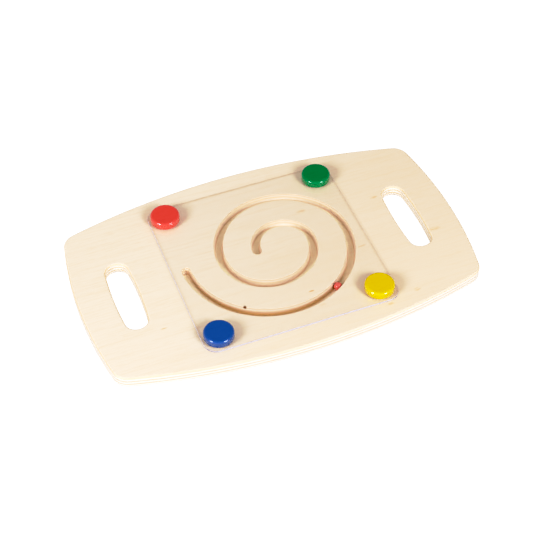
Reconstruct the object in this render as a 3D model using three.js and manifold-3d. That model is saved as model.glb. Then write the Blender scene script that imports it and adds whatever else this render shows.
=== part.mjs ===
// Tilt maze game: a plywood board with a spiral ball run, held in both hands and tilted.
// A clear cover keeps the ball in the run, four lacquered wooden knobs hold the cover down, and a
// wood screw comes up through the board and the cover into each knob.
//
// Frame: millimetres, +Z up. The origin is the middle of the board's underside, the board's length
// runs along X and its width along Y.

import * as THREE from 'three';
import { mergeVertices } from 'three/addons/utils/BufferGeometryUtils.js';
import Module from 'manifold-3d';

const wasm = await Module();
wasm.setup();

// ---- Driving dimensions ----

const board = {
  length: 463,
  width: 287,
  thickness: 15,
  sideRadius: 798, // the long sides bulge a little
  endRadius: 514, // and so do the short ends
  cornerRadius: 20,
  roundOver: 2.5,
};

// The hand slots, as they open on the board's faces. Their edges are rounded over for the fingers.
const handSlot = {
  centreX: 175,
  width: 35.2,
  length: 107.8,
  sideRadius: 436,
  endRadius: 16.5,
  cornerRadius: 15,
  roundOver: 2.5,
};

const groove = {
  step: 22, // each half turn is this much wider in radius than the one inside it
  innerRadius: 33.5, // centreline of the innermost half turn
  halfTurns: 4,
  width: 11,
  depth: 10.5,
};

const ball = {
  diameter: 10,
  restAngle: -55, // degrees round the outermost half turn
  floorGap: 0.15,
};

const cover = {
  side: 234,
  thickness: 2,
  cornerRadius: 15.5,
  holeRadius: 2.6,
};

const knob = {
  spacing: 194, // centre to centre, along both sides of the cover
  radius: 17.5,
  height: 10,
  topRound: 3.1,
  bottomRound: 2,
  pilotRadius: 2.05,
  pilotDepth: 6.6,
};

const screw = {
  length: 20,
  shankRadius: 1.75,
  tipLength: 3,
  headRadius: 3.5,
  headRim: 0.3,
  headHeight: 2.3,
  headDepth: 3, // the head sits this far above the board's underside
  recessWidth: 1.1,
  recessSpan: 4,
  recessDepth: 1.5,
};

const clearance = 0.35; // round each screw, in the board

const knobColours = {
  red: 0xe23a24,
  green: 0x0c8f43,
  blue: 0x0b5fae,
  yellow: 0xf2dc00,
};

const knobPlaces = {
  red: [-1, 1],
  green: [1, 1],
  blue: [-1, -1],
  yellow: [1, -1],
};

// ---- Materials ----

const plywood = new THREE.MeshStandardMaterial({ color: 0xf0dfc3, roughness: 0.6, metalness: 0 });
const acrylic = new THREE.MeshStandardMaterial({
  color: 0xf4f6f6,
  roughness: 0.05,
  metalness: 0,
  transparent: true,
  opacity: 0.25,
});
const steel = new THREE.MeshStandardMaterial({ color: 0xb8babd, roughness: 0.35, metalness: 1 });

function lacquer(colour) {
  return new THREE.MeshStandardMaterial({ color: colour, roughness: 0.25, metalness: 0 });
}

// ---- Outlines ----

const degrees = Math.PI / 180;
const quarter = 90 * degrees;

// Points along an arc, from one angle up to, but not including, the other.
function arc(cx, cy, radius, from, to, steps) {
  const points = [];
  for (let i = 0; i < steps; i += 1) {
    const angle = from + ((to - from) * i) / steps;
    points.push(new THREE.Vector2(cx + radius * Math.cos(angle), cy + radius * Math.sin(angle)));
  }
  return points;
}

// A rectangle with bulging sides. Two sides are arcs of radius rx that cross the X axis, two are
// arcs of radius ry that cross the Y axis, and corner arcs run smoothly from one to the next.
function barrel({ halfX, halfY, rx, ry, corner }, steps) {
  const fromX = halfX - rx; // centre of the arc that crosses +X
  const fromY = halfY - ry; // centre of the arc that crosses +Y
  // The corner's centre is rx - corner from the one and ry - corner from the other.
  const apart = Math.hypot(fromX, fromY);
  const reachX = rx - corner;
  const reachY = ry - corner;
  const along = (reachY ** 2 - reachX ** 2 + apart ** 2) / (2 * apart);
  const aside = Math.sqrt(reachY ** 2 - along ** 2);
  const towards = new THREE.Vector2(fromX, -fromY).divideScalar(apart);
  const centre = new THREE.Vector2(
    along * towards.x + aside * towards.y,
    fromY + along * towards.y - aside * towards.x,
  );
  const a = Math.atan2(centre.y, centre.x - fromX); // the end arc meets the corner here
  const b = Math.atan2(centre.y - fromY, centre.x); // and the corner meets the side arc here
  const half = 180 * degrees;
  return [
    ...arc(fromX, 0, rx, -a, a, steps.end),
    ...arc(centre.x, centre.y, corner, a, b, steps.corner),
    ...arc(0, fromY, ry, b, half - b, steps.side),
    ...arc(-centre.x, centre.y, corner, half - b, half - a, steps.corner),
    ...arc(-fromX, 0, rx, half - a, half + a, steps.end),
    ...arc(-centre.x, -centre.y, corner, half + a, half + b, steps.corner),
    ...arc(0, -fromY, ry, half + b, 2 * half - b, steps.side),
    ...arc(centre.x, -centre.y, corner, 2 * half - b, 2 * half - a, steps.corner),
  ];
}

// The same outline with every side moved outwards by a distance, or inwards by a negative one.
function grown({ halfX, halfY, rx, ry, corner }, by) {
  return {
    halfX: halfX + by,
    halfY: halfY + by,
    rx: rx + by,
    ry: ry + by,
    corner: corner + by,
  };
}

// ---- Solids ----

function solid(geometry) {
  const bare = geometry.clone();
  bare.deleteAttribute('normal');
  bare.deleteAttribute('uv');
  const merged = mergeVertices(bare);
  const mesh = new wasm.Mesh({
    numProp: 3,
    vertProperties: new Float32Array(merged.attributes.position.array),
    triVerts: new Uint32Array(merged.index.array),
  });
  return new wasm.Manifold(mesh);
}

function geometryOf(manifold) {
  const mesh = manifold.getMesh();
  const geometry = new THREE.BufferGeometry();
  geometry.setAttribute('position', new THREE.BufferAttribute(mesh.vertProperties, 3));
  geometry.setIndex(new THREE.BufferAttribute(mesh.triVerts, 1));
  geometry.computeVertexNormals();
  return geometry;
}

// A closed skin over outlines stacked one above the other, all with the same number of points.
function lofted(layers) {
  const count = layers[0].outline.length;
  const positions = layers.flatMap(({ outline, z }) => outline.flatMap(({ x, y }) => [x, y, z]));
  const index = [];
  for (let layer = 0; layer + 1 < layers.length; layer += 1) {
    for (let i = 0; i < count; i += 1) {
      const here = layer * count + i;
      const next = layer * count + ((i + 1) % count);
      index.push(here, next, next + count);
      index.push(here, next + count, here + count);
    }
  }
  const last = layers.length - 1;
  for (const [a, b, c] of THREE.ShapeUtils.triangulateShape(layers[0].outline, [])) {
    index.push(a, c, b);
  }
  for (const [a, b, c] of THREE.ShapeUtils.triangulateShape(layers[last].outline, [])) {
    index.push(last * count + a, last * count + b, last * count + c);
  }
  const geometry = new THREE.BufferGeometry();
  geometry.setAttribute('position', new THREE.Float32BufferAttribute(positions, 3));
  geometry.setIndex(index);
  geometry.computeVertexNormals();
  return geometry;
}

// A straight-sided plate between two heights.
function plate(outline, bottom, top) {
  return lofted([{ outline, z: bottom }, { outline, z: top }]);
}

// How far a quarter-round arris stands back from the wall, and how far it is along the height, at
// each of its steps, from the wall to the face.
function roundOverSteps(radius, steps) {
  return Array.from({ length: steps + 1 }, (_, i) => {
    const angle = (quarter * i) / steps;
    return { back: radius * (1 - Math.cos(angle)), along: radius * Math.sin(angle) };
  });
}

// A body of revolution about Z, from a profile of [radius, height] points.
function revolved(profile, segments) {
  const points = profile.map(([radius, height]) => new THREE.Vector2(radius, height));
  const geometry = new THREE.LatheGeometry(points, segments);
  geometry.rotateX(quarter);
  return geometry;
}

// ---- Board ----

function boardBlank() {
  const { thickness, roundOver } = board;
  const outline = {
    halfX: board.length / 2,
    halfY: board.width / 2,
    rx: board.endRadius,
    ry: board.sideRadius,
    corner: board.cornerRadius,
  };
  const steps = { end: 16, side: 24, corner: 9 };
  const layer = (back, z) => ({ outline: barrel(grown(outline, -back), steps), z });
  const arris = roundOverSteps(roundOver, 3);
  const bottom = arris.map(({ back, along }) => layer(back, roundOver - along)).reverse();
  const top = arris.map(({ back, along }) => layer(back, thickness - roundOver + along));
  return solid(lofted([...bottom, ...top]));
}

// The body that a hand slot takes out of the board. It flares where the edges are rounded over.
function handSlotCutter() {
  const { roundOver } = handSlot;
  const beyond = 1;
  const wall = grown({
    halfX: handSlot.width / 2,
    halfY: handSlot.length / 2,
    rx: handSlot.sideRadius,
    ry: handSlot.endRadius,
    corner: handSlot.cornerRadius,
  }, -roundOver);
  const steps = { end: 8, side: 4, corner: 7 };
  const layer = (back, z) => ({ outline: barrel(grown(wall, back), steps), z });
  const arris = roundOverSteps(roundOver, 5);
  const bottom = arris.map(({ back, along }) => layer(back, roundOver - along)).reverse();
  const top = arris.map(({ back, along }) => layer(back, board.thickness - roundOver + along));
  return solid(lofted([
    layer(roundOver, -beyond),
    ...bottom,
    ...top,
    layer(roundOver, board.thickness + beyond),
  ]));
}

// The run is a row of half turns, each about the other of two centres a step apart on X, so that
// each one ends where the next begins. It starts near the middle of the board and goes clockwise.
const grooveCentreY = groove.step / 2;
const outerRadius = groove.innerRadius + (groove.halfTurns - 1) * groove.step;

function grooveSide(sidestep) {
  const points = [];
  for (let index = 0; index < groove.halfTurns; index += 1) {
    const over = index % 2 === 0; // over the top, or back underneath
    const cx = over ? groove.step : 0;
    const radius = groove.innerRadius + index * groove.step + sidestep;
    const from = over ? 2 * quarter : 0;
    points.push(...arc(cx, grooveCentreY, radius, from, from - 2 * quarter, 20 + 8 * index));
  }
  points.push(new THREE.Vector2(-(outerRadius + sidestep), grooveCentreY));
  return points;
}

function grooveCutter() {
  const half = groove.width / 2;
  const above = 1;
  const capSteps = 10;
  const [, ...outer] = grooveSide(half);
  const [, ...inner] = grooveSide(-half);
  const startX = groove.step - groove.innerRadius;
  const startCap = arc(startX, grooveCentreY, half, 4 * quarter, 2 * quarter, capSteps);
  const startCorner = new THREE.Vector2(startX - half, grooveCentreY);
  const endCap = arc(-outerRadius, grooveCentreY, half, 2 * quarter, 0, capSteps);
  const outline = [...startCap, startCorner, ...outer, ...endCap.slice(1), ...inner.reverse()];
  const floor = board.thickness - groove.depth;
  // This outline runs clockwise, and a plate's outline runs the other way.
  return solid(plate(outline.reverse(), floor, board.thickness + above));
}

function knobCentre(name) {
  const [sx, sy] = knobPlaces[name];
  return new THREE.Vector3((sx * knob.spacing) / 2, (sy * knob.spacing) / 2, 0);
}

// The hole under a knob: a counterbore, a countersink and a clear hole through the board.
function screwHoleCutter() {
  const head = screw.headRadius + clearance;
  const shank = screw.shankRadius + clearance;
  const seat = screw.headDepth + clearance;
  const beyond = 1;
  return solid(revolved(
    [
      [0, -beyond],
      [head, -beyond],
      [head, seat],
      [shank, seat + screw.headHeight],
      [shank, board.thickness + beyond],
      [0, board.thickness + beyond],
    ],
    28,
  ));
}

function makeBoard() {
  let body = boardBlank();
  for (const side of [-1, 1]) {
    body = body.subtract(handSlotCutter().translate([side * handSlot.centreX, 0, 0]));
  }
  body = body.subtract(grooveCutter());
  for (const name of Object.keys(knobPlaces)) {
    const { x, y } = knobCentre(name);
    body = body.subtract(screwHoleCutter().translate([x, y, 0]));
  }
  return new THREE.Mesh(geometryOf(body), plywood);
}

// ---- Cover, knobs, screws and ball ----

function makeCover() {
  const { side, thickness, cornerRadius, holeRadius } = cover;
  const inset = side / 2 - cornerRadius;
  const corners = [[1, 1], [-1, 1], [-1, -1], [1, -1]];
  const outline = corners.flatMap(([sx, sy], turn) => {
    const steps = 8;
    const centre = [sx * inset, sy * inset];
    const bend = arc(...centre, cornerRadius, turn * quarter, (turn + 1) * quarter, steps);
    const end = arc(...centre, cornerRadius, (turn + 1) * quarter, 0, 1);
    return [...bend, ...end];
  });
  let body = solid(plate(outline, 0, thickness));
  const beyond = 1;
  for (const name of Object.keys(knobPlaces)) {
    const { x, y } = knobCentre(name);
    const circle = arc(x, y, holeRadius, 0, 4 * quarter, 24);
    body = body.subtract(solid(plate(circle, -beyond, thickness + beyond)));
  }
  return new THREE.Mesh(geometryOf(body), acrylic);
}

function makeKnob(colour) {
  const { radius, height, topRound, bottomRound, pilotRadius, pilotDepth } = knob;
  const bottom = roundOverSteps(bottomRound, 4).reverse();
  const top = roundOverSteps(topRound, 6);
  const profile = [
    [0, pilotDepth],
    [pilotRadius, pilotDepth],
    [pilotRadius, 0],
    ...bottom.map(({ back, along }) => [radius - back, bottomRound - along]),
    ...top.map(({ back, along }) => [radius - back, height - topRound + along]),
    [0, height],
  ];
  return new THREE.Mesh(revolved(profile, 56), lacquer(colour));
}

// A countersunk wood screw, head down, with the face of its head at height 0.
function makeScrew() {
  const { length, shankRadius, tipLength, headRadius, headRim, headHeight } = screw;
  const blank = revolved(
    [
      [0, 0],
      [headRadius, 0],
      [headRadius, headRim],
      [shankRadius, headHeight],
      [shankRadius, length - tipLength],
      [0, length],
    ],
    24,
  );
  let body = solid(blank);
  const { recessWidth, recessSpan, recessDepth } = screw;
  for (const [x, y] of [[recessSpan, recessWidth], [recessWidth, recessSpan]]) {
    body = body.subtract(solid(new THREE.BoxGeometry(x, y, 2 * recessDepth)));
  }
  return new THREE.Mesh(geometryOf(body), steel);
}

function makeBall() {
  const geometry = new THREE.SphereGeometry(ball.diameter / 2, 28, 18);
  geometry.rotateX(quarter);
  return new THREE.Mesh(geometry, lacquer(knobColours.red));
}

// ---- Assembly ----

const game = new THREE.Group();

function add(name, mesh, x, y, z) {
  mesh.name = name;
  mesh.position.set(x, y, z);
  game.add(mesh);
}

add('maze_board', makeBoard(), 0, 0, 0);
add('cover_plate', makeCover(), 0, 0, board.thickness);

for (const name of Object.keys(knobPlaces)) {
  const { x, y } = knobCentre(name);
  add(`knob_${name}`, makeKnob(knobColours[name]), x, y, board.thickness + cover.thickness);
  add(`screw_${name}`, makeScrew(), x, y, screw.headDepth);
}

const restAngle = ball.restAngle * degrees;
add(
  'ball',
  makeBall(),
  outerRadius * Math.cos(restAngle),
  grooveCentreY + outerRadius * Math.sin(restAngle),
  board.thickness - groove.depth + ball.floorGap + ball.diameter / 2,
);

export default game;
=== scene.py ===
"""Tilt maze game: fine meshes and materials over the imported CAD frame, in metres, +Z up.

A plywood board with hand slots and a spiral ball run lies flat. A clear cover, four lacquered knobs
and their screws hold the run shut, and a red ball lies in it. Lengths are in millimetres until a mesh
is made.
"""

import math

import bpy
from mathutils import Matrix, Vector, geometry


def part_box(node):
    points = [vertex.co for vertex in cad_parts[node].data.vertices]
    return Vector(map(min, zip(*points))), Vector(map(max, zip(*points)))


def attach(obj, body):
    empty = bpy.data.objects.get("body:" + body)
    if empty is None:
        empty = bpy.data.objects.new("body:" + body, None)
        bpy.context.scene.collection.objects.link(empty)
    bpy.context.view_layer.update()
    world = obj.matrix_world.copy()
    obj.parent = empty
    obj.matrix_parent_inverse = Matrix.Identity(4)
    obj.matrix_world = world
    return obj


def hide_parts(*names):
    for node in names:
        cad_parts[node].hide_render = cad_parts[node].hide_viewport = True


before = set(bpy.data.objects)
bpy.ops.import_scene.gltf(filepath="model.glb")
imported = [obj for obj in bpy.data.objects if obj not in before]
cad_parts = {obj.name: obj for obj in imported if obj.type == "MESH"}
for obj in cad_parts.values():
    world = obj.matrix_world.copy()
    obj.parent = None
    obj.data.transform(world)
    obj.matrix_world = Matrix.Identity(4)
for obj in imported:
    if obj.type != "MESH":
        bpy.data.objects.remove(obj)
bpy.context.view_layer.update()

MM = 0.001
QUARTER = math.pi / 2
HALF_TURN = math.pi

# ---- Sizes, as in the CAD source ----

BOARD_LENGTH = 463
BOARD_WIDTH = 287
BOARD_THICKNESS = 15
BOARD_SIDE_RADIUS = 798
BOARD_END_RADIUS = 514
BOARD_CORNER_RADIUS = 20
BOARD_ROUND_OVER = 2.5

SLOT_CENTRE_X = 175
SLOT_WIDTH = 35.2
SLOT_LENGTH = 107.8
SLOT_SIDE_RADIUS = 436
SLOT_END_RADIUS = 16.5
SLOT_CORNER_RADIUS = 15
SLOT_ROUND_OVER = 2.5

RUN_STEP = 22
RUN_INNER_RADIUS = 33.5
RUN_HALF_TURNS = 4
RUN_WIDTH = 11
RUN_DEPTH = 10.5
RUN_ARRIS = 0.35
RUN_FLOOR_ROUND = 4  # the cutter's rounded corner, which the CAD leaves square
RUN_CENTRE_Y = RUN_STEP / 2

COVER_SIDE = 234
COVER_THICKNESS = 2
COVER_CORNER_RADIUS = 15.5
COVER_HOLE_RADIUS = 2.6
COVER_ARRIS = 0.25
COVER_AIR_GAP = 0.03  # keeps the clear sheet's faces off the wood below and the knobs above

KNOB_SPACING = 194
KNOB_RADIUS = 17.5
KNOB_HEIGHT = 10
KNOB_TOP_ROUND = 3.1
KNOB_BOTTOM_ROUND = 2
KNOB_PILOT_RADIUS = 2.05
KNOB_PILOT_DEPTH = 6.6

SCREW_LENGTH = 20
SCREW_SHANK_RADIUS = 1.75
SCREW_ROOT_RADIUS = 1.25
SCREW_PITCH = 1.6
SCREW_TIP_LENGTH = 3
SCREW_HEAD_RADIUS = 3.5
SCREW_HEAD_RIM = 0.3
SCREW_HEAD_ARRIS = 0.12
SCREW_HEAD_HEIGHT = 2.3
SCREW_HEAD_DEPTH = 3
SCREW_RECESS_WIDTH = 1.1
SCREW_RECESS_SPAN = 4
SCREW_RECESS_DEPTH = 1.5
SCREW_RECESS_TAPER = (0.45, 0.6)  # the recess's span and width at its bottom, as shares
SCREW_CLEARANCE = 0.35
SCREW_POINT_FLAT = 0.1  # the shank ends this far short of a true point
THREAD_START = 1.2  # the shank is plain for this length next to the head
THREAD_FADE = 1.5  # and the thread then grows to its full height over this one
THREAD_FLANK = 0.28  # from crest to root, as a share of the pitch
THREAD_ROWS = 150

BALL_RADIUS = 5

PLIES = 7
PLY_THICKNESS = BOARD_THICKNESS / PLIES

KNOB_PLACES = {"red": (-1, 1), "green": (1, 1), "blue": (-1, -1), "yellow": (1, -1)}


# ---- Outlines ----
# An outline is a list of stations. A station is a centre, a radius, an angle and a sign: moving the
# outline outwards by a distance adds sign times that distance to the radius.


def arc(cx, cy, radius, start, end, steps, sign=1):
    """Stations along an arc, from the start angle up to, but not including, the end angle."""
    return [(cx, cy, radius, start + (end - start) * i / steps, sign) for i in range(steps)]


def barrel(size, radius_at_x, radius_at_y, corner, steps, cx=0, cy=0):
    """A rectangle of size (x, y) with bulging sides and round corners. The two sides that cross the X
    axis have radius_at_x and the two that cross the Y axis have radius_at_y. A corner arc touches the
    sides it joins, so its centre is a corner's radius inside both."""
    from_x = size[0] / 2 - radius_at_x
    from_y = size[1] / 2 - radius_at_y
    apart = math.hypot(from_x, from_y)
    reach_x = radius_at_x - corner
    reach_y = radius_at_y - corner
    along = (reach_y**2 - reach_x**2 + apart**2) / (2 * apart)
    aside = math.sqrt(reach_y**2 - along**2)
    towards_x = from_x / apart
    towards_y = -from_y / apart
    corner_x = along * towards_x + aside * towards_y
    corner_y = from_y + along * towards_y - aside * towards_x
    # From a to b is the corner arc, with the side across X before it and the one across Y after it.
    a = math.atan2(corner_y, corner_x - from_x)
    b = math.atan2(corner_y - from_y, corner_x)
    x_steps, corner_steps, y_steps = steps
    stations = []
    for turn, sign in ((0, 1), (HALF_TURN, -1)):
        x = cx + sign * from_x
        y = cy + sign * from_y
        right = (cx + sign * corner_x, cy + sign * corner_y)
        left = (cx - sign * corner_x, cy + sign * corner_y)
        stations += arc(x, cy, radius_at_x, turn - a, turn + a, x_steps)
        stations += arc(*right, corner, turn + a, turn + b, corner_steps)
        stations += arc(cx, y, radius_at_y, turn + b, turn + HALF_TURN - b, y_steps)
        stations += arc(*left, corner, turn + HALF_TURN - b, turn + HALF_TURN - a, corner_steps)
    return stations


def rounded_square(side, corner, steps):
    """A square with round corners. Its straight sides are single steps between the corner arcs, and
    the second arc of each corner is only the first one's end point."""
    inset = side / 2 - corner
    stations = []
    for turn, (sx, sy) in enumerate(((1, 1), (-1, 1), (-1, -1), (1, -1))):
        start = turn * QUARTER
        stations += arc(sx * inset, sy * inset, corner, start, start + QUARTER, steps)
        stations += arc(sx * inset, sy * inset, corner, start + QUARTER, start, 1)
    return stations


def circle(cx, cy, radius, steps):
    """A whole circle. With a radius of 0 it is a point, which offsets then open into circles."""
    return arc(cx, cy, radius, 0, 2 * HALF_TURN, steps)


def run_outline():
    """The centreline of the ball run, gone round on both sides. Moving it outwards by half the run's
    width gives the run's walls. Each half turn ends where the next, wider one begins."""
    outer = []
    inner = []
    for index in range(RUN_HALF_TURNS):
        over = index % 2 == 0
        cx = RUN_STEP if over else 0
        radius = RUN_INNER_RADIUS + index * RUN_STEP
        start = HALF_TURN if over else 0
        steps = 72 + 36 * index
        outer += arc(cx, RUN_CENTRE_Y, radius, start, start - HALF_TURN, steps, 1)
        back = arc(cx, RUN_CENTRE_Y, radius, start - HALF_TURN, start, steps, -1)
        inner = back + inner
    outer_radius = RUN_INNER_RADIUS + (RUN_HALF_TURNS - 1) * RUN_STEP
    start_cap = arc(RUN_STEP - RUN_INNER_RADIUS, RUN_CENTRE_Y, 0, 0, -HALF_TURN, 20)
    end_cap = arc(-outer_radius, RUN_CENTRE_Y, 0, HALF_TURN, 0, 20)
    return start_cap + outer + end_cap + inner


def offset_point(station, by):
    """Where a station is once the outline has moved outwards."""
    cx, cy, radius, angle, sign = station
    reach = radius + sign * by
    return cx + reach * math.cos(angle), cy + reach * math.sin(angle)


def quarter_round(radius, steps):
    """Steps of a rounded arris, from the wall to the face: how far back from the wall, how far along
    the height, and how far the surface has turned from the wall's direction to the face's."""
    turns = [QUARTER * i / steps for i in range(steps + 1)]
    return [(radius * (1 - math.cos(t)), radius * math.sin(t), t) for t in turns]


def hollow_round(radius, steps):
    """Steps of a hollow corner, from the floor to the wall: how far in from the wall, how far above
    the floor, and how far the surface is turned from the wall's direction towards the floor's."""
    turns = [QUARTER * (1 - i / steps) for i in range(steps + 1)]
    return [(radius * (1 - math.cos(t)), radius * (1 - math.sin(t)), t) for t in turns]


# ---- Meshes ----


class Skin:
    """A closed mesh under construction, with a normal for every corner of every face."""

    def __init__(self):
        self.points = []
        self.faces = []
        self.normals = []

    def ring(self, stations, by, z):
        """Adds an outline at a height, and returns its points' numbers."""
        first = len(self.points)
        for station in stations:
            x, y = offset_point(station, by)
            self.points.append((x, y, z))
        return list(range(first, len(self.points)))

    def face(self, corners, normals):
        """Adds a face, turned so that it looks the way its normals do."""
        a, b, c = (Vector(self.points[i]) for i in corners[:3])
        looks = (b - a).cross(c - a)
        if looks.dot(sum((Vector(n) for n in normals), Vector())) < 0:
            corners = corners[::-1]
            normals = normals[::-1]
        self.faces.append(corners)
        self.normals += normals

    def strip(self, lower, upper, lower_normals, upper_normals):
        """Joins two rings of as many points with four-sided faces."""
        count = len(lower)
        for i in range(count):
            j = (i + 1) % count
            corners = [lower[i], lower[j], upper[j], upper[i]]
            normals = [lower_normals[i], lower_normals[j], upper_normals[j], upper_normals[i]]
            self.face(corners, normals)

    def flat(self, rings, up):
        """Fills the first ring, less the others, with a level face that looks up or down."""
        loops = [[Vector(self.points[i]) for i in ring] for ring in rings]
        numbers = [i for ring in rings for i in ring]
        for triangle in geometry.tessellate_polygon(loops):
            corners = [numbers[i] for i in triangle]
            self.face(corners, [(0, 0, up)] * 3)

    def wall(self, stations, profile, outward):
        """A wall round an outline, from a profile of (offset, height, turn). outward is 1 on the
        outside of a body and -1 in a hole. Returns its first and last ring."""
        rings = []
        sides = []
        for by, z, turn in profile:
            rings.append(self.ring(stations, by, z))
            sides.append([wall_normal(station, turn, outward) for station in stations])
        for k in range(len(rings) - 1):
            self.strip(rings[k], rings[k + 1], sides[k], sides[k + 1])
        return rings[0], rings[-1]

    def object(self, name):
        """Makes the Blender object, in metres."""
        mesh = bpy.data.meshes.new(name)
        mesh.from_pydata([Vector(p) * MM for p in self.points], [], self.faces)
        mesh.polygons.foreach_set("use_smooth", [True] * len(mesh.polygons))
        mesh.normals_split_custom_set([Vector(n).normalized() for n in self.normals])
        mesh.update()
        made = bpy.data.objects.new(name, mesh)
        bpy.context.scene.collection.objects.link(made)
        return made


def wall_normal(station, turn, outward):
    """The way a wall looks at a station, turned up from level by turn."""
    _, _, _, angle, sign = station
    level = math.cos(turn) * sign * outward
    return level * math.cos(angle), level * math.sin(angle), math.sin(turn)


def edge_profile(thickness, radius, steps, outward):
    """The profile of a wall with both arrises rounded, from the lower face to the upper one."""
    arris = quarter_round(radius, steps)
    lower = [(-outward * back, radius - along, -turn) for back, along, turn in reversed(arris)]
    upper = [(-outward * back, thickness - radius + along, turn) for back, along, turn in arris]
    return lower + upper


def raised(profile, z):
    """A profile moved up."""
    return [(offset, height + z, turn) for offset, height, turn in profile]


# ---- Board ----


def knob_centre(name):
    sx, sy = KNOB_PLACES[name]
    return sx * KNOB_SPACING / 2, sy * KNOB_SPACING / 2


def slot_stations(side):
    """A hand slot's clear hole. Its rounded edges open outwards from it."""
    inset = 2 * SLOT_ROUND_OVER
    size = (SLOT_WIDTH - inset, SLOT_LENGTH - inset)
    return barrel(
        size,
        SLOT_SIDE_RADIUS - SLOT_ROUND_OVER,
        SLOT_END_RADIUS - SLOT_ROUND_OVER,
        SLOT_CORNER_RADIUS - SLOT_ROUND_OVER,
        (60, 20, 20),
        cx=side * SLOT_CENTRE_X,
    )


def add_run(skin):
    """The ball run's walls and floor, which meet in a hollow rounding. Returns the ring where the run
    opens on the board's face."""
    stations = run_outline()
    half = RUN_WIDTH / 2
    floor_z = BOARD_THICKNESS - RUN_DEPTH
    arris_z = BOARD_THICKNESS - RUN_ARRIS
    hollow = hollow_round(RUN_FLOOR_ROUND, 10)
    arris = quarter_round(RUN_ARRIS, 4)
    profile = [(half - back, floor_z + along, turn) for back, along, turn in hollow]
    profile += [(half + back, arris_z + along, turn) for back, along, turn in arris]
    floor, mouth = skin.wall(stations, profile, -1)
    skin.flat([floor], 1)
    return mouth


def add_screw_hole(skin, centre):
    """A counterbore, a countersink and a clear hole. Returns its lower and upper ring."""
    head = SCREW_HEAD_RADIUS + SCREW_CLEARANCE
    shank = SCREW_SHANK_RADIUS + SCREW_CLEARANCE
    seat = SCREW_HEAD_DEPTH + SCREW_CLEARANCE
    neck = seat + SCREW_HEAD_HEIGHT
    outline = circle(*centre, 0, 48)
    slope = math.atan2(head - shank, SCREW_HEAD_HEIGHT)
    bore, bore_top = skin.wall(outline, [(head, 0, 0), (head, seat, 0)], -1)
    clear, clear_top = skin.wall(outline, [(shank, neck, 0), (shank, BOARD_THICKNESS, 0)], -1)
    sloped = [wall_normal(station, -slope, -1) for station in outline]
    skin.strip(bore_top, clear, sloped, sloped)
    return bore, clear_top


def make_board():
    """The board, with its round-over edges, two hand slots, the run and four screw holes."""
    skin = Skin()
    outline = barrel(
        (BOARD_LENGTH, BOARD_WIDTH),
        BOARD_END_RADIUS,
        BOARD_SIDE_RADIUS,
        BOARD_CORNER_RADIUS,
        (72, 28, 110),
    )
    edge = edge_profile(BOARD_THICKNESS, BOARD_ROUND_OVER, 8, 1)
    bottom, top = skin.wall(outline, edge, 1)
    lower_rings = [bottom]
    upper_rings = [top]
    for side in (-1, 1):
        edge = edge_profile(BOARD_THICKNESS, SLOT_ROUND_OVER, 12, -1)
        lower, upper = skin.wall(slot_stations(side), edge, -1)
        lower_rings.append(lower)
        upper_rings.append(upper)
    upper_rings.append(add_run(skin))
    for name in KNOB_PLACES:
        lower, upper = add_screw_hole(skin, knob_centre(name))
        lower_rings.append(lower)
        upper_rings.append(upper)
    skin.flat(lower_rings, -1)
    skin.flat(upper_rings, 1)
    return skin.object("plywood_board")


# ---- Cover, knobs, screws and ball ----


def make_cover():
    """The clear sheet, with a hole for each screw. Its sawn edge has a material of its own."""
    skin = Skin()
    thickness = COVER_THICKNESS - 2 * COVER_AIR_GAP
    base = BOARD_THICKNESS + COVER_AIR_GAP
    outline = rounded_square(COVER_SIDE, COVER_CORNER_RADIUS, 16)
    edge = raised(edge_profile(thickness, COVER_ARRIS, 4, 1), base)
    bottom, top = skin.wall(outline, edge, 1)
    sawn_faces = len(skin.faces)
    lower_rings = [bottom]
    upper_rings = [top]
    for name in KNOB_PLACES:
        hole = circle(*knob_centre(name), COVER_HOLE_RADIUS, 40)
        lower, upper = skin.wall(hole, [(0, base, 0), (0, base + thickness, 0)], -1)
        lower_rings.append(lower)
        upper_rings.append(upper)
    skin.flat(lower_rings, -1)
    skin.flat(upper_rings, 1)
    cover = skin.object("clear_cover")
    cover.data.materials.append(clear_acrylic())
    cover.data.materials.append(sawn_acrylic())
    for number in range(sawn_faces):
        cover.data.polygons[number].material_index = 1
    return cover


def make_knob(name):
    """A turned disc with a soft top edge, a smaller round below, and a pilot hole for its screw."""
    skin = Skin()
    base = BOARD_THICKNESS + COVER_THICKNESS
    outline = circle(*knob_centre(name), 0, 144)
    lower_z = base + KNOB_BOTTOM_ROUND
    upper_z = base + KNOB_HEIGHT - KNOB_TOP_ROUND
    lower = reversed(quarter_round(KNOB_BOTTOM_ROUND, 8))
    upper = quarter_round(KNOB_TOP_ROUND, 12)
    profile = [(KNOB_RADIUS - back, lower_z - along, -turn) for back, along, turn in lower]
    profile += [(KNOB_RADIUS - back, upper_z + along, turn) for back, along, turn in upper]
    underside, top = skin.wall(outline, profile, 1)
    pilot = [(KNOB_PILOT_RADIUS, base, 0), (KNOB_PILOT_RADIUS, base + KNOB_PILOT_DEPTH, 0)]
    mouth, blind_end = skin.wall(outline, pilot, -1)
    skin.flat([underside, mouth], -1)
    skin.flat([blind_end], -1)
    skin.flat([top], 1)
    return skin.object(f"lacquered_knob_{name}")


def cross_outline(centre, span, width):
    """The plus sign of a cross recess."""
    cx, cy = centre
    a = span / 2
    b = width / 2
    corners = [(a, -b), (a, b), (b, b), (b, a), (-b, a), (-b, b)]
    corners += [(-a, b), (-a, -b), (-b, -b), (-b, -a), (b, -a), (b, -b)]
    return [(cx + x, cy + y, 0, 0, 1) for x, y in corners]


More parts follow.
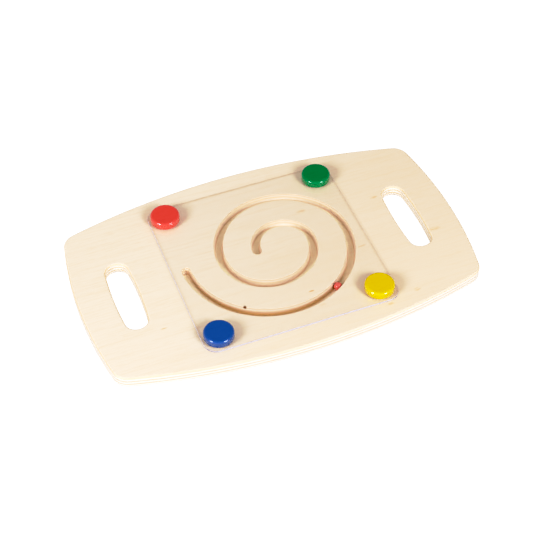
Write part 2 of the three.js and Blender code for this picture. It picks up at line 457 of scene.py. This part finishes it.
def add_cross_recess(skin, centre):
    """A cross recess that narrows upwards into the head. Returns its mouth, in the head's face."""
    span_share, width_share = SCREW_RECESS_TAPER
    wide = cross_outline(centre, SCREW_RECESS_SPAN, SCREW_RECESS_WIDTH)
    narrow = cross_outline(centre, SCREW_RECESS_SPAN * span_share, SCREW_RECESS_WIDTH * width_share)
    recess = skin.ring(wide, 0, SCREW_HEAD_DEPTH)
    pit = skin.ring(narrow, 0, SCREW_HEAD_DEPTH + SCREW_RECESS_DEPTH)
    skin.flat([pit], -1)
    count = len(recess)
    middle = Vector((*centre, 0))
    for i in range(count):
        j = (i + 1) % count
        corners = [recess[i], recess[j], pit[j], pit[i]]
        a, b, c = (Vector(skin.points[k]) for k in corners[:3])
        across = (b - a).cross(c - a)
        towards = middle - (a + b) / 2
        towards.z = 0
        if across.dot(towards) < 0:
            across = -across
        skin.face(corners, [tuple(across)] * 4)
    return recess


def add_screw_head(skin, outline, centre):
    """The head's face, with its cross recess, and its rim. Returns the ring under the rim."""
    z = SCREW_HEAD_DEPTH
    face = skin.ring(outline, SCREW_HEAD_RADIUS - SCREW_HEAD_ARRIS, z)
    edge = skin.ring(outline, SCREW_HEAD_RADIUS, z + SCREW_HEAD_ARRIS)
    rim = skin.ring(outline, SCREW_HEAD_RADIUS, z + SCREW_HEAD_RIM)
    broken = [wall_normal(station, -QUARTER / 2, 1) for station in outline]
    level = [wall_normal(station, 0, 1) for station in outline]
    skin.strip(face, edge, broken, broken)
    skin.strip(edge, rim, level, level)
    skin.flat([face, add_cross_recess(skin, centre)], -1)
    return rim


def thread_radius(z, angle, top):
    """The shank's radius at a height and an angle. The thread starts some way above the head and
    narrows to the point."""
    phase = (z / SCREW_PITCH - angle / (2 * HALF_TURN)) % 1
    crest = max(0, 1 - abs(phase - 0.5) / THREAD_FLANK)
    start = SCREW_HEAD_DEPTH + SCREW_HEAD_HEIGHT + THREAD_START
    fade = min(1, max(0, (z - start) / THREAD_FADE))
    taper = min(1, max(0, (top - z) / SCREW_TIP_LENGTH))
    return taper * (SCREW_ROOT_RADIUS + fade * crest * (SCREW_SHANK_RADIUS - SCREW_ROOT_RADIUS))


def make_screw(name):
    """A countersunk wood screw, head down, with its thread."""
    skin = Skin()
    centre = knob_centre(name)
    outline = circle(*centre, 0, 48)
    rim = add_screw_head(skin, outline, centre)
    neck_z = SCREW_HEAD_DEPTH + SCREW_HEAD_HEIGHT
    point_z = SCREW_HEAD_DEPTH + SCREW_LENGTH
    last_z = point_z - SCREW_POINT_FLAT
    slope = math.atan2(SCREW_HEAD_RADIUS - SCREW_ROOT_RADIUS, SCREW_HEAD_HEIGHT - SCREW_HEAD_RIM)
    cone = [wall_normal(station, slope, 1) for station in outline]
    level = [wall_normal(station, 0, 1) for station in outline]
    last = skin.ring(outline, SCREW_ROOT_RADIUS, neck_z)
    skin.strip(rim, last, cone, cone)
    for row in range(1, THREAD_ROWS + 1):
        z = neck_z + (last_z - neck_z) * row / THREAD_ROWS
        stations = []
        for cx, cy, _, angle, sign in outline:
            stations.append((cx, cy, thread_radius(z, angle, point_z), angle, sign))
        ring = skin.ring(stations, 0, z)
        skin.strip(last, ring, level, level)
        last = ring
    skin.flat([last], 1)
    return skin.object(f"wood_screw_{name}")


def make_ball():
    """A ball of even four-sided faces, which has no poles."""
    low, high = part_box("ball")
    centre = (Vector(low) + Vector(high)) / 2
    bpy.ops.mesh.primitive_cube_add(size=1)
    made = bpy.context.object
    made.name = "run_ball"
    made.data.name = "run_ball"
    modifier = made.modifiers.new("even_faces", "SUBSURF")
    modifier.subdivision_type = "SIMPLE"
    modifier.levels = 5
    bpy.ops.object.modifier_apply(modifier=modifier.name)
    for vertex in made.data.vertices:
        vertex.co = centre + vertex.co.normalized() * BALL_RADIUS * MM
    made.data.polygons.foreach_set("use_smooth", [True] * len(made.data.polygons))
    made.data.update()
    return made


# ---- Material nodes ----


def linear(red, green, blue):
    """A colour from its 0 to 255 display values."""
    values = (red / 255, green / 255, blue / 255)
    return (*((v / 12.92 if v <= 0.04045 else ((v + 0.055) / 1.055) ** 2.4) for v in values), 1)


class Nodes:
    """One material's node tree. Its methods return a socket to link on from, except add and
    principled, which return a node."""

    def __init__(self, name):
        self.material = bpy.data.materials.new(name)
        self.material.use_nodes = True
        self.tree = self.material.node_tree
        self.tree.nodes.clear()
        self.output = self.tree.nodes.new("ShaderNodeOutputMaterial")

    def add(self, kind, **settings):
        """A new node of any kind, with its settings."""
        node = self.tree.nodes.new(kind)
        for key, value in settings.items():
            setattr(node, key, value)
        return node

    def put(self, value, socket):
        """Links a socket to this one, or sets this one to a plain value."""
        if isinstance(value, bpy.types.NodeSocket):
            self.tree.links.new(value, socket)
        else:
            socket.default_value = value

    def math(self, operation, *values):
        node = self.add("ShaderNodeMath", operation=operation)
        for value, socket in zip(values, node.inputs, strict=False):
            self.put(value, socket)
        return node.outputs[0]

    def plus(self, first, second):
        return self.math("ADD", first, second)

    def minus(self, first, second):
        return self.math("SUBTRACT", first, second)

    def times(self, first, second):
        return self.math("MULTIPLY", first, second)

    def squared_distance(self, x, y):
        return self.plus(self.math("POWER", x, 2), self.math("POWER", y, 2))

    def between(self, value, low, high):
        """0 at low, 1 at high and the same beyond them, with a smooth change from one to the other.
        low may be the greater."""
        node = self.add("ShaderNodeMapRange", interpolation_type="SMOOTHSTEP")
        self.put(value, node.inputs["Value"])
        node.inputs["From Min"].default_value = low
        node.inputs["From Max"].default_value = high
        return node.outputs["Result"]

    def mix(self, factor, first, second):
        node = self.add("ShaderNodeMix", data_type="RGBA")
        self.put(factor, node.inputs[0])
        self.put(first, node.inputs[6])
        self.put(second, node.inputs[7])
        return node.outputs[2]

    def stretched_noise(self, place, scale, detail=4, roughness=0.6, distortion=0.0):
        """Noise with its own scale along each axis, in cycles per metre."""
        stretch = self.add("ShaderNodeMapping")
        self.put(place, stretch.inputs["Vector"])
        stretch.inputs["Scale"].default_value = scale
        noise = self.add("ShaderNodeTexNoise")
        self.put(stretch.outputs["Vector"], noise.inputs["Vector"])
        noise.inputs["Scale"].default_value = 1
        noise.inputs["Detail"].default_value = detail
        noise.inputs["Roughness"].default_value = roughness
        noise.inputs["Distortion"].default_value = distortion
        return noise.outputs["Fac"]

    def place(self):
        return self.add("ShaderNodeTexCoord").outputs["Object"]

    def surface(self, property_name):
        return self.add("ShaderNodeNewGeometry").outputs[property_name]

    def split(self, vector):
        """The x, y and z of a vector."""
        node = self.add("ShaderNodeSeparateXYZ")
        self.put(vector, node.inputs[0])
        return list(node.outputs)

    def bump(self, height, distance):
        node = self.add("ShaderNodeBump")
        self.put(height, node.inputs["Height"])
        node.inputs["Distance"].default_value = distance
        return node.outputs["Normal"]

    def principled(self, **values):
        """A Principled node, with a link or a value for each socket named."""
        node = self.add("ShaderNodeBsdfPrincipled")
        for key, value in values.items():
            self.put(value, node.inputs[key.replace("_", " ").title()])
        return node

    def transparent(self, colour):
        node = self.add("ShaderNodeBsdfTransparent")
        node.inputs["Color"].default_value = colour
        return node.outputs[0]

    def mix_shaders(self, factor, first, second):
        node = self.add("ShaderNodeMixShader")
        self.put(factor, node.inputs[0])
        self.put(first, node.inputs[1])
        self.put(second, node.inputs[2])
        return node.outputs[0]

    def finish(self, shader):
        self.put(shader, self.output.inputs["Surface"])
        return self.material


# ---- Plywood ----

FACE_PALE = linear(242, 220, 194)
FACE_WARM = linear(235, 210, 182)
FACE_STREAK = linear(233, 202, 169)
FLECK = linear(222, 172, 122)
PLY_LIGHT = linear(250, 240, 225)
PLY_DARK = linear(238, 205, 168)
PLY_GLUE = linear(228, 166, 106)
RUN_FLOOR = linear(255, 243, 214)
RUN_GRAIN = linear(247, 224, 186)
RUN_WALL = linear(234, 208, 182)
# Painted shade, low on the run's walls and on its floor beside them.
RUN_SHADE_COLOUR = linear(184, 138, 78)
NICK = linear(110, 66, 34)

# Small figures in the face veneer: x, y, half length and half width in millimetres, and strength.
FLECKS = (
    (60, 53, 6, 2.2, 0.6),
    (28, -94, 5, 1.6, 0.6),
    (105, -26, 6, 2.0, 0.6),
    (101, -121, 4, 1.6, 0.6),
    (138, -112, 4.5, 2.6, 0.6),
    (151, 43, 5, 2.2, 0.6),
    (197, -32, 8, 2.6, 0.6),
    (-150, -62, 4, 1.2, 0.6),
    (24.2, -70.5, 3.0, 0.9, 4.0),
)

# The dark nick at the top of the run's wall.
NICK_PLACE = (-54.9 * MM, -65.2 * MM, 13.9 * MM)
NICK_RADIUS = 3.0 * MM


def fleck_mask(nodes, x, y, height):
    """How strongly a point of the upper face belongs to any of its figures."""
    mask = 0.0
    for fleck_x, fleck_y, half_length, half_width, strength in FLECKS:
        along = nodes.math("DIVIDE", nodes.minus(x, fleck_x * MM), half_length * MM)
        across = nodes.math("DIVIDE", nodes.minus(y, fleck_y * MM), half_width * MM)
        inside = nodes.between(nodes.squared_distance(along, across), 1.5, 0.0)
        mask = nodes.math("MAXIMUM", mask, nodes.times(inside, strength))
    return nodes.times(mask, nodes.between(height, 12 * MM, 14 * MM))


def face_colour(nodes, place, x, y, height):
    """Pale veneer, with painted shade that makes it darker and warmer towards the front right, broad
    tonal bands, fine streaks along the board and a few figures. Returns the colour and the streaks."""
    # Painted shade: darker and warmer towards the front right. The noise bands add the wood's own
    # tone.
    shade_drift = nodes.between(nodes.minus(x, nodes.times(y, 0.8)), -250 * MM, 250 * MM)
    bands = nodes.stretched_noise(place, (3, 16, 1), 3, 0.5)
    tone_and_shade = nodes.plus(nodes.times(shade_drift, 0.65), nodes.times(bands, 0.5))
    colour = nodes.mix(nodes.between(tone_and_shade, 0.1, 1.0), FACE_PALE, FACE_WARM)
    long_streaks = nodes.stretched_noise(place, (9, 330, 60), 5, 0.65, 0.3)
    ripples = nodes.stretched_noise(place, (75, 620, 60), 3, 0.6, 0.6)
    streaks = nodes.plus(nodes.times(long_streaks, 0.6), nodes.times(ripples, 0.4))
    share = nodes.times(nodes.between(streaks, 0.42, 0.7), 0.6)
    colour = nodes.mix(share, colour, FACE_STREAK)
    flecks = nodes.times(fleck_mask(nodes, x, y, height), nodes.between(ripples, 0.35, 0.6))
    return nodes.mix(flecks, colour, FLECK), streaks


def edge_colour(nodes, place, height, upright):
    """The plies as they show on an edge: long-grained ones darker, cross-grained ones pale, with a
    patchy glue line between them that fades where the edge is no longer upright. Returns the colour
    and the fibres."""
    wander = nodes.stretched_noise(place, (14, 14, 30), 2, 0.5)
    wander = nodes.times(nodes.minus(wander, 0.5), 0.9 * MM)
    level = nodes.math("DIVIDE", nodes.plus(height, wander), PLY_THICKNESS * MM)
    wave = nodes.math("SINE", nodes.times(level, HALF_TURN))
    long_grained = nodes.between(wave, 0.0, 0.55)
    colour = nodes.mix(long_grained, PLY_LIGHT, PLY_DARK)
    fibres = nodes.stretched_noise(place, (60, 60, 2600), 4, 0.6)
    share = nodes.times(nodes.between(fibres, 0.42, 0.75), 0.25)
    colour = nodes.mix(share, colour, FACE_STREAK)
    seam = nodes.between(nodes.math("ABSOLUTE", nodes.minus(wave, 0.2)), 0.28, 0.02)
    patches = nodes.between(nodes.stretched_noise(place, (90, 90, 500), 3, 0.6), 0.4, 0.65)
    glue = nodes.times(nodes.times(seam, patches), upright)
    return nodes.mix(nodes.times(glue, 0.85), colour, PLY_GLUE), fibres


def centreline_distance(nodes, x, y):
    """How far a point of the run's floor is from the run's centreline, in metres. The half turns
    behind RUN_CENTRE_Y share one centre and those in front of it another."""
    behind = nodes.math("GREATER_THAN", y, RUN_CENTRE_Y * MM)
    from_x = nodes.minus(x, nodes.times(behind, RUN_STEP * MM))
    from_y = nodes.minus(y, RUN_CENTRE_Y * MM)
    radius = nodes.math("SQRT", nodes.squared_distance(from_x, from_y))
    past_first = nodes.minus(radius, RUN_INNER_RADIUS * MM)
    shift = nodes.times(nodes.minus(1, behind), RUN_STEP * MM)
    return nodes.math("PINGPONG", nodes.minus(past_first, shift), RUN_STEP * MM)


def run_painted_shade(nodes, x, y):
    """How much painted shade darkens the run low down: only in its front part, and most at the left.
    """
    at_front = nodes.between(nodes.plus(y, nodes.times(x, 0.35)), 0.0, -85 * MM)
    return nodes.times(at_front, 0.85)


def run_wall_colour(nodes, edge, height, run_shade):
    """Freshly cut walls of the ball run: paler than the board's edge, with painted shade low down."""
    pale = nodes.mix(0.6, edge, RUN_WALL)
    # Painted shade on the lower part of the wall.
    shaded_low = nodes.between(height, 10.8 * MM, 6.8 * MM)
    return nodes.mix(nodes.times(shaded_low, run_shade), pale, RUN_SHADE_COLOUR)


def run_floor_colour(nodes, x, y, streaks, run_shade):
    """The run's floor, with strong grain, and painted shade where it meets the walls."""
    grain = nodes.between(streaks, 0.4, 0.66)
    floor = nodes.mix(nodes.times(grain, 0.5), RUN_FLOOR, RUN_GRAIN)
    # Painted shade on the floor next to the walls.
    near_wall = nodes.between(centreline_distance(nodes, x, y), -1 * MM, 5 * MM)
    return nodes.mix(nodes.times(near_wall, run_shade), floor, RUN_SHADE_COLOUR)


def nick_mask(nodes, place):
    """How deep a point is inside the nick."""
    apart = nodes.add("ShaderNodeVectorMath", operation="DISTANCE")
    nodes.put(place, apart.inputs[0])
    apart.inputs[1].default_value = NICK_PLACE
    return nodes.between(apart.outputs["Value"], NICK_RADIUS, 0.3 * NICK_RADIUS)


def board_colour(nodes, place, level, upright):
    """Veneer where the board is level, plies where it isn't, and the run's own walls and floor.
    Returns the colour, the faces' streaks and the edges' fibres."""
    x, y, height = nodes.split(place)
    face, streaks = face_colour(nodes, place, x, y, height)
    edge, fibres = edge_colour(nodes, place, height, upright)
    # The run's painted shade, shared by its walls and its floor.
    run_shade = run_painted_shade(nodes, x, y)
    off_centre = nodes.math("SQRT", nodes.squared_distance(x, y))
    in_run = nodes.between(off_centre, 140 * MM, 135 * MM)
    edge = nodes.mix(in_run, edge, run_wall_colour(nodes, edge, height, run_shade))
    colour = nodes.mix(level, edge, face)
    below_face = nodes.between(height, 10 * MM, 6 * MM)
    above_underside = nodes.between(height, 1.5 * MM, 3 * MM)
    on_floor = nodes.times(nodes.times(level, below_face), above_underside)
    colour = nodes.mix(on_floor, colour, run_floor_colour(nodes, x, y, streaks, run_shade))
    return nodes.mix(nick_mask(nodes, place), colour, NICK), streaks, fibres


def plywood():
    """Birch plywood under a thin satin lacquer."""
    nodes = Nodes("birch_plywood")
    tilt = nodes.math("ABSOLUTE", nodes.split(nodes.surface("Normal"))[2])
    level = nodes.between(tilt, 0.8, 0.97)
    upright = nodes.between(tilt, 0.5, 0.2)
    colour, streaks, fibres = board_colour(nodes, nodes.place(), level, upright)
    relief = nodes.mix(level, nodes.times(fibres, 0.3), streaks)
    shader = nodes.principled(
        base_color=colour,
        roughness=nodes.plus(nodes.times(streaks, 0.12), 0.42),
        normal=nodes.bump(relief, 0.06 * MM),
    )
    shader.inputs["Specular IOR Level"].default_value = 0.4
    shader.inputs["Coat Weight"].default_value = 0.15
    shader.inputs["Coat Roughness"].default_value = 0.35
    return nodes.finish(shader.outputs[0])


# ---- Clear sheet ----

SHEET_MIRROR_IOR = 1.75  # one mirror with it is about as strong as both faces of the real sheet
SAWN_PALE = (0.64, 0.64, 0.76, 1)
SAWN_GREY = (0.5, 0.5, 0.62, 1)
# Painted shade at the sheet's round corners.
SAWN_CORNER_SHADE = (0.33, 0.32, 0.42, 1)
SAWN_CLEAR = (0.9, 0.9, 0.93, 1)
SAWN_FROM_INSIDE = (1, 0.98, 0.96, 1)
SAWN_SHADOW = (0.75, 0.7, 0.66, 1)
CLEAR = (1, 1, 1, 1)


def through_lamps(nodes, shader, passed):
    """Lets the lamps' light, and light scattered off wood, straight through a clear shader."""
    path = nodes.add("ShaderNodeLightPath").outputs
    lamp_or_bounce = nodes.math("MAXIMUM", path["Is Shadow Ray"], path["Is Diffuse Ray"])
    return nodes.mix_shaders(lamp_or_bounce, shader, nodes.transparent(passed))


def clear_acrylic():
    """Clear polished sheet, too thin to shift what is seen through it. Its outer side mirrors as much
    as both faces of a real sheet do together, more at a glancing angle."""
    nodes = Nodes("clear_acrylic")
    haze = nodes.stretched_noise(nodes.place(), (30, 30, 30), 3, 0.5)
    mirror = nodes.add("ShaderNodeBsdfGlossy")
    nodes.put(nodes.times(haze, 0.06), mirror.inputs["Roughness"])
    fresnel = nodes.add("ShaderNodeFresnel")
    fresnel.inputs["IOR"].default_value = SHEET_MIRROR_IOR
    outer_side = nodes.minus(1, nodes.surface("Backfacing"))
    share = nodes.times(fresnel.outputs[0], outer_side)
    seen = nodes.mix_shaders(share, nodes.transparent(CLEAR), mirror.outputs[0])
    return nodes.finish(through_lamps(nodes, seen, CLEAR))


def sawn_acrylic():
    """The sheet's sawn edge: milky from outside, with painted shade at the round corners for the way
    they act as lenses. From inside, through the sheet, it shows as a faint line over the wood behind
    it."""
    nodes = Nodes("sawn_acrylic")
    saw_marks = nodes.stretched_noise(nodes.place(), (900, 900, 200), 3, 0.6)
    normal_x, normal_y, _ = nodes.split(nodes.surface("Normal"))
    diagonal = nodes.math("ABSOLUTE", nodes.times(normal_x, normal_y))
    colour = nodes.mix(saw_marks, SAWN_PALE, SAWN_GREY)
    milky = nodes.principled(
        base_color=nodes.mix(nodes.between(diagonal, 0.05, 0.4), colour, SAWN_CORNER_SHADE),
        roughness=nodes.plus(nodes.times(saw_marks, 0.2), 0.3),
        normal=nodes.bump(saw_marks, 0.04 * MM),
    )
    outside = nodes.mix_shaders(0.2, milky.outputs[0], nodes.transparent(SAWN_CLEAR))
    inside = nodes.transparent(SAWN_FROM_INSIDE)
    seen = nodes.mix_shaders(nodes.surface("Backfacing"), outside, inside)
    return nodes.finish(through_lamps(nodes, seen, SAWN_SHADOW))


# ---- Lacquer and steel ----

# Each lacquer's colour, and its deeper colour along the grain.
KNOB_LACQUERS = {
    "red": (linear(221, 87, 77), linear(207, 74, 65)),
    "green": (linear(0, 132, 80), linear(0, 119, 68)),
    "blue": (linear(58, 91, 150), linear(50, 81, 137)),
    "yellow": (linear(215, 184, 0), linear(204, 168, 0)),
}
BALL_LACQUER = (linear(212, 104, 94), linear(194, 86, 76))

STEEL_PALE = linear(196, 198, 200)
STEEL_CLOUDED = linear(168, 168, 164)


def lacquer(name, colours, coat):
    """Gloss paint on turned wood. Faint grain shows through as a change of tone and relief."""
    nodes = Nodes(name)
    place = nodes.place()
    grain = nodes.stretched_noise(place, (90, 420, 90), 4, 0.6, 0.4)
    mottle = nodes.stretched_noise(place, (160, 160, 160), 2, 0.5)
    share = nodes.times(nodes.between(grain, 0.45, 0.8), 0.35)
    ripple = nodes.plus(nodes.times(grain, 0.6), nodes.times(mottle, 0.4))
    shader = nodes.principled(
        base_color=nodes.mix(share, *colours),
        roughness=nodes.plus(nodes.times(mottle, 0.1), 0.3),
        normal=nodes.bump(ripple, 0.02 * MM),
    )
    shader.inputs["Specular IOR Level"].default_value = 0.15
    shader.inputs["Coat Weight"].default_value = coat
    shader.inputs["Coat IOR"].default_value = 1.58
    shader.inputs["Coat Roughness"].default_value = 0.05
    return nodes.finish(shader.outputs[0])


def zinc_steel():
    """Zinc-plated steel, clouded, with fine lines round it from turning."""
    nodes = Nodes("zinc_steel")
    place = nodes.place()
    cloud = nodes.stretched_noise(place, (700, 700, 700), 3, 0.6)
    turned_lines = nodes.stretched_noise(place, (300, 300, 4000), 3, 0.6)
    shader = nodes.principled(
        base_color=nodes.mix(cloud, STEEL_PALE, STEEL_CLOUDED),
        roughness=nodes.plus(nodes.times(cloud, 0.2), 0.25),
        normal=nodes.bump(turned_lines, 0.02 * MM),
    )
    shader.inputs["Metallic"].default_value = 1
    return nodes.finish(shader.outputs[0])


# ---- Assembly ----


def place_piece(piece, material, body, node):
    """Puts a piece in place of its CAD node. The cover comes with its two materials already on."""
    if material is not None:
        piece.data.materials.append(material)
    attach(piece, body)
    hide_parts(node)


def build_game():
    place_piece(make_board(), plywood(), "board", "maze_board")
    place_piece(make_cover(), None, "board", "cover_plate")
    steel = zinc_steel()
    for name, colours in KNOB_LACQUERS.items():
        paint = lacquer(f"{name}_lacquer", colours, 1.0)
        place_piece(make_knob(name), paint, "board", f"knob_{name}")
        place_piece(make_screw(name), steel, "board", f"screw_{name}")
    red = lacquer("ball_lacquer", BALL_LACQUER, 0.6)
    place_piece(make_ball(), red, "rolling_ball", "ball")


# ---- Studio ----

CAMERA_AZIMUTH = -19.71
CAMERA_ELEVATION = 47.54
CAMERA_ROLL = -1.32
CAMERA_DISTANCE = 1.6399
CAMERA_ASIDE = -0.00407
CAMERA_ABOVE = -0.00381
LENS = 94.06
SENSOR_WIDTH = 36

LAMP_COLOUR = (0.93, 0.985, 1.09)

# Linear light and what is shown for it, between black at 0 and white at 1.
CONTRAST = (
    (0.06, 0.003),
    (0.11, 0.045),
    (0.2, 0.138),
    (0.3, 0.255),
    (0.42, 0.41),
    (0.54, 0.61),
    (0.68, 0.78),
    (0.8, 0.88),
    (0.9, 0.945),
)


def white_floor():
    """A matt white table. The camera sees it evenly white, with no shadow on it."""
    bpy.ops.mesh.primitive_plane_add(size=20, location=(0, 0, -0.2 * MM))
    floor = bpy.context.object
    floor.name = "studio_floor"
    nodes = Nodes("studio_white")
    matt = nodes.add("ShaderNodeBsdfDiffuse")
    matt.inputs["Color"].default_value = (0.6, 0.6, 0.6, 1)
    white = nodes.add("ShaderNodeEmission")
    white.inputs["Strength"].default_value = 1.2
    path = nodes.add("ShaderNodeLightPath").outputs
    floor_shader = nodes.mix_shaders(path["Is Camera Ray"], matt.outputs[0], white.outputs[0])
    floor.data.materials.append(nodes.finish(floor_shader))


def direction(azimuth, elevation):
    """The way from the game to a point seen at this azimuth and elevation, in degrees."""
    a = math.radians(azimuth)
    e = math.radians(elevation)
    return Vector((math.sin(a) * math.cos(e), -math.cos(a) * math.cos(e), math.sin(e)))


def soft_box(name, azimuth, elevation, distance, size, power):
    """A square lamp that faces the game."""
    light = bpy.data.lights.new(name, "AREA")
    light.shape = "SQUARE"
    light.size = size
    light.energy = power
    light.color = LAMP_COLOUR
    lamp = bpy.data.objects.new(name, light)
    back = direction(azimuth, elevation)
    lamp.location = back * distance
    lamp.rotation_mode = "QUATERNION"
    lamp.rotation_quaternion = (-back).to_track_quat("-Z", "Y")
    bpy.context.scene.collection.objects.link(lamp)


def mirrored_level(tree, overhead, horizon):
    """How bright the surroundings are in a mirror: horizon low down, and overhead high up."""
    place = tree.nodes.new("ShaderNodeTexCoord").outputs["Generated"]
    towards = tree.nodes.new("ShaderNodeSeparateXYZ")
    tree.links.new(place, towards.inputs[0])
    rise = tree.nodes.new("ShaderNodeMapRange")
    rise.interpolation_type = "SMOOTHSTEP"
    tree.links.new(towards.outputs[2], rise.inputs["Value"])
    rise.inputs["From Min"].default_value = 0.15
    rise.inputs["From Max"].default_value = 0.6
    rise.inputs["To Min"].default_value = horizon
    rise.inputs["To Max"].default_value = overhead
    return rise.outputs["Result"]


def soft_world(fill, overhead, horizon):
    """White surroundings. They light the game evenly, at the level of fill, and the camera sees them
    white. In glossy surfaces they look pale near the horizon and dimmer overhead, as in a studio with
    white walls and a dark ceiling."""
    world = bpy.data.worlds.new("studio")
    world.use_nodes = True
    tree = world.node_tree
    path = tree.nodes.new("ShaderNodeLightPath").outputs
    glossy = tree.nodes.new("ShaderNodeMix")
    tree.links.new(path["Is Glossy Ray"], glossy.inputs[0])
    glossy.inputs[2].default_value = fill
    tree.links.new(mirrored_level(tree, overhead, horizon), glossy.inputs[3])
    seen = tree.nodes.new("ShaderNodeMix")
    tree.links.new(path["Is Camera Ray"], seen.inputs[0])
    tree.links.new(glossy.outputs[0], seen.inputs[2])
    seen.inputs[3].default_value = 1
    background = tree.nodes["Background"]
    background.inputs["Color"].default_value = (1, 1, 1, 1)
    tree.links.new(seen.outputs[0], background.inputs["Strength"])
    bpy.context.scene.world = world


def make_camera():
    """A long lens, in front and to the left, looking well down on the game."""
    back = direction(CAMERA_AZIMUTH, CAMERA_ELEVATION)
    level_right = (-back).cross(Vector((0, 0, 1))).normalized()
    level_up = level_right.cross(-back)
    turn = math.radians(CAMERA_ROLL)
    right = level_right * math.cos(turn) + level_up * math.sin(turn)
    up = level_up * math.cos(turn) - level_right * math.sin(turn)
    data = bpy.data.cameras.new("camera")
    data.lens = LENS
    data.sensor_width = SENSOR_WIDTH
    data.clip_start = 0.05
    data.clip_end = 50
    camera = bpy.data.objects.new("camera", data)
    place = back * CAMERA_DISTANCE + right * CAMERA_ASIDE + up * CAMERA_ABOVE
    axes = Matrix((right, up, back)).transposed().to_4x4()
    camera.matrix_world = Matrix.Translation(place) @ axes
    bpy.context.scene.collection.objects.link(camera)
    bpy.context.scene.camera = camera


def photographic_contrast():
    """A print-like response: deep darks, and highlights that ease towards white."""
    settings = bpy.context.scene.view_settings
    settings.view_transform = "Standard"
    settings.use_curve_mapping = True
    curve = settings.curve_mapping.curves[3]
    for light, shown in CONTRAST:
        curve.points.new(light, shown)
    settings.curve_mapping.update()


def light_studio():
    photographic_contrast()
    soft_world(fill=0.4, overhead=0.25, horizon=0.85)
    soft_box("key_light", azimuth=-70, elevation=31, distance=2.0, size=0.65, power=26)
    soft_box("second_light", azimuth=26, elevation=34, distance=2.0, size=0.6, power=25.5)
    white_floor()


make_camera()
build_game()
light_studio()
